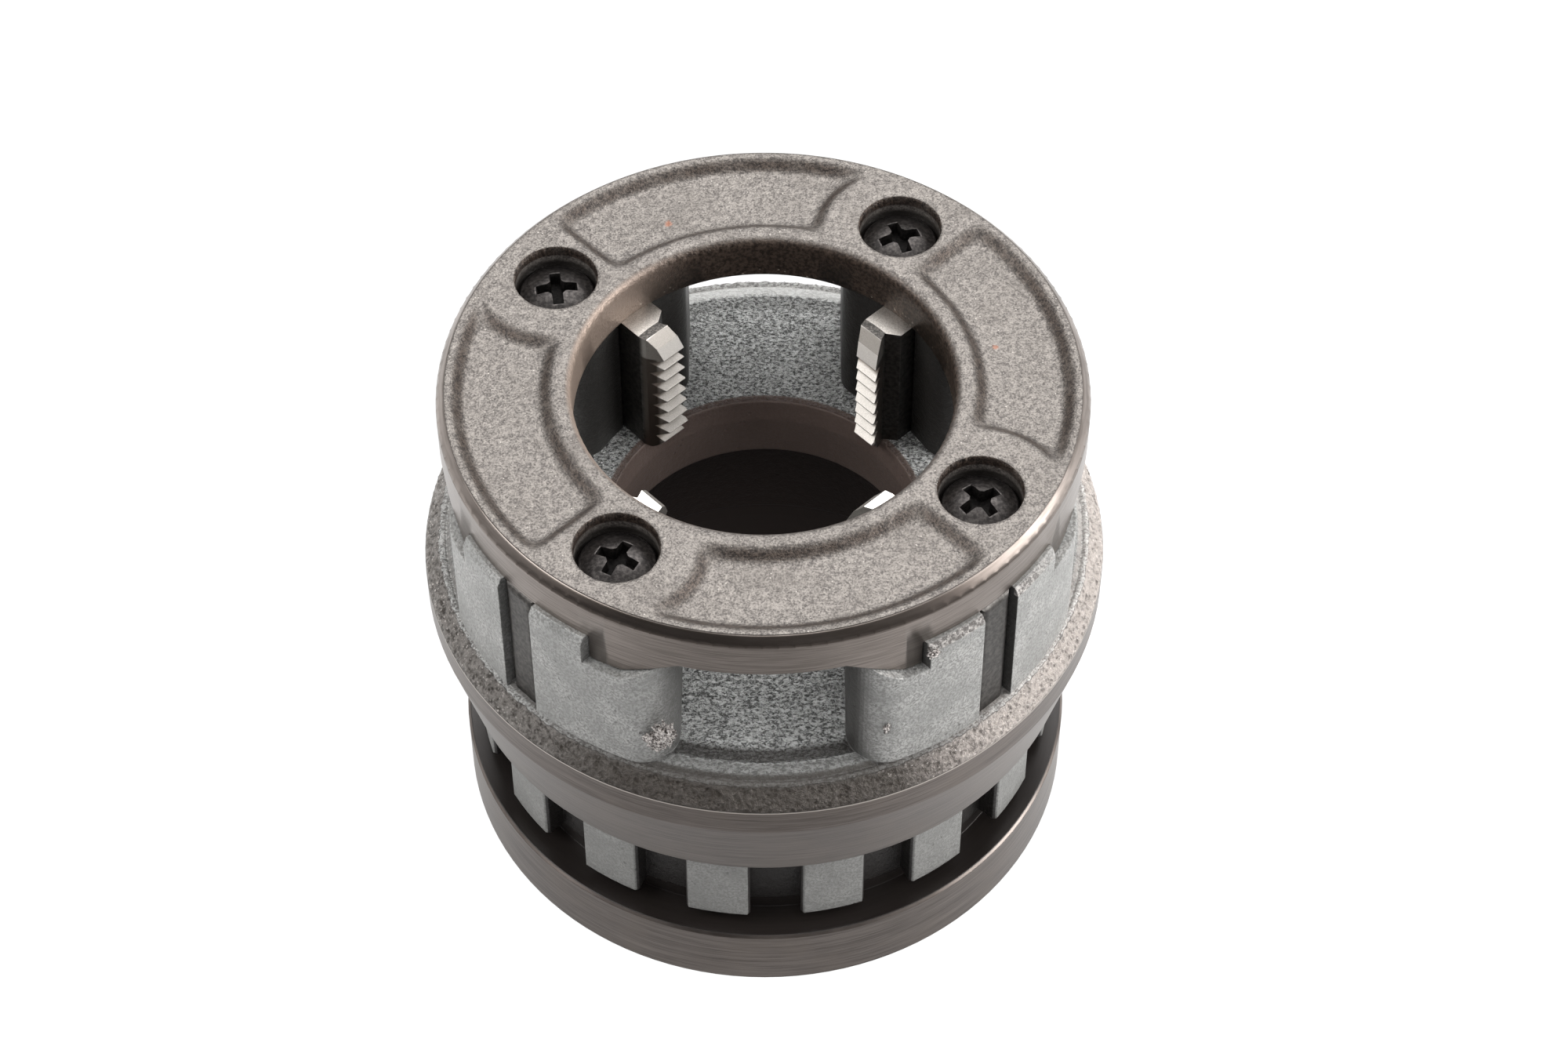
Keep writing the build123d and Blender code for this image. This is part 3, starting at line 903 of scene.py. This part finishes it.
def window_floor_mesh():
    """Rough floor between the posts, with a shallow valley and a smoother ridge along its rim."""
    radii = np.linspace(FLOOR_LIFTS[0][0], FLOOR_LIFTS[-1][0], FLOOR_RINGS)
    tables = (FLOOR_LIFTS, FLOOR_ROUGH, FLOOR_DROP)
    lifts, rough, drop = [np.interp(radii, *zip(*table)) for table in tables]
    verts = []
    for r, base, grit, down in zip(radii, lifts, rough, drop):
        for i in range(FLOOR_POINTS):
            a = 2 * math.pi * i / FLOOR_POINTS
            p = Vector((r * math.cos(a), r * math.sin(a), 0))
            z = FLOOR - down + base + FLOOR_GRIT * grit * max(-1.2, min(1.4, lump(p, 0.55, 3, 2.4)))
            verts.append((p.x * MM, p.y * MM, z * MM))
    return new_mesh("window_floor", verts, ring_quads(FLOOR_RINGS, FLOOR_POINTS, flip=True), 80)


def burr_mesh(number, place, size):
    """A lump of rough cast metal at a place, in millimetres."""
    bm = bmesh.new()
    bmesh.ops.create_icosphere(bm, subdivisions=4, radius=1.0)
    out = Vector((place[0], place[1], 0)).normalized()
    side = Vector((-out.y, out.x, 0))
    for v in bm.verts:
        p = v.co.copy()
        q = p * (0.75 + 0.55 * noise.fractal(p * 1.9 + Vector((7.3 * number, 0, 0)), 0.6, 2.2, 4))
        spot = Vector(place) + side * q.x * size[0] + out * q.y * size[1]
        spot.z += q.z * size[2]
        v.co = spot * MM
    mesh = bpy.data.meshes.new("burr_%d" % (number + 1))
    bm.to_mesh(mesh)
    bm.free()
    smooth(mesh, 40)
    return mesh


def add(name, mesh, *materials):
    """Adds a mesh that rides the body."""
    obj = bpy.data.objects.new(name, mesh)
    bpy.context.collection.objects.link(obj)
    dress(obj, *materials)
    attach(obj, "root")
    return obj


def stand_for(mesh, node, *materials):
    """Puts a mesh in place of a CAD node."""
    obj = add(node + "_shape", mesh, *materials)
    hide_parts(node)


def camera():
    """Camera at the photograph's place."""
    data = bpy.data.cameras.new("camera")
    data.lens = CAMERA_LENS
    data.sensor_width = CAMERA_SENSOR
    data.clip_start = 0.01
    obj = bpy.data.objects.new("camera", data)
    obj.location = CAMERA_PLACE
    obj.rotation_euler = (math.radians(CAMERA_TILT), 0, 0)
    bpy.context.collection.objects.link(obj)
    bpy.context.scene.camera = obj


def area(name, place, aim, size, power):
    """One soft lamp."""
    data = bpy.data.lights.new(name, "AREA")
    data.shape = "RECTANGLE"
    data.size, data.size_y = size
    data.energy = power
    obj = bpy.data.objects.new(name, data)
    obj.location = place
    obj.rotation_euler = (Vector(aim) - Vector(place)).to_track_quat("-Z", "Y").to_euler()
    bpy.context.collection.objects.link(obj)


def studio():
    """White room: white backdrop, bright above and behind, dim before the object."""
    world = bpy.data.worlds.new("studio")
    bpy.context.scene.world = world
    world.use_nodes = True
    room = Tree(world.node_tree, "Generated")
    over = room.ramp(room.axis("Y"), -0.75, 0.25, 0.12, 1.0)
    side = room.ramp(room.axis("X"), -1.0, 1.0, -0.2, 0.25)
    level = room.most(room.plus(over, side), room.camera_ray())
    soft = room.make("ShaderNodeBackground", {"Color": (0.93, 0.95, 1.0), "Strength": 0.3})
    white = room.make("ShaderNodeBackground", {"Strength": level})
    both = room.make("ShaderNodeMixShader", {0: room.shown(), 1: soft, 2: white})
    room.end("ShaderNodeOutputWorld", both)
    bpy.context.scene.view_settings.view_transform = "Standard"


def floor_material():
    """White to the camera, a soft sweep to glossy metal with a painted shadow under the object, and paper
    to light.
    """
    room = Graph("floor")
    x = room.axis("X")
    y = room.axis("Y")
    back = room.ramp(y, -0.25, 0.12, 0.22, 1.0)
    side = room.plus(room.ramp(x, 0.01, 0.065, 0.0, 0.42), room.ramp(x, -0.11, -0.03, 0.45, 0.0))
    # Painted shadow: glossy rays see the floor darker under the object
    under = room.ramp(room.length(x, y), 0.034, 0.045, 0.11, 1.0)
    level = room.times(room.plus(back, side), under)
    level = room.most(level, room.times(room.camera_ray(), 1.06))
    paper = room.make("ShaderNodeBsdfDiffuse", {"Color": (0.8, 0.8, 0.8)})
    white = room.make("ShaderNodeEmission", {"Strength": level})
    both = room.make("ShaderNodeMixShader", {0: room.times(room.shown(), 0.92), 1: paper, 2: white})
    room.end("ShaderNodeOutputMaterial", both)
    return room.material


def floor():
    """Pale floor under the object."""
    mesh = bpy.data.meshes.new("floor")
    corners = [(-FLOOR_HALF, -FLOOR_HALF, 0), (FLOOR_HALF, -FLOOR_HALF, 0),
               (FLOOR_HALF, FLOOR_HALF, 0), (-FLOOR_HALF, FLOOR_HALF, 0)]
    mesh.from_pydata(corners, [], [(0, 1, 2, 3)])
    mesh.materials.append(floor_material())
    obj = bpy.data.objects.new("floor", mesh)
    bpy.context.collection.objects.link(obj)


dress(nodes["die_head_body"], body_material("body_cast"))
rough_cast = body_material("body_rough", False)
add("cast_band", band_mesh(), rough_cast)
add("window_floor", window_floor_mesh(), rough_cast)
rough_metal = burr_material()
for i, (place, size) in enumerate(BURRS):
    add("burr_%d" % (i + 1), burr_mesh(i, place, size), rough_metal)
stand_for(cover_mesh(), "cover_plate", cover_material())
steel = die_material()
black = screw_material()
recess = recess_material()
for i in range(4):
    dress(nodes["die_%d" % (i + 1)], steel)
    stand_for(screw_mesh(i), "cover_screw_%d" % (i + 1), black, recess)

camera()
studio()
floor()
for lamp in LAMPS:
    area(*lamp)
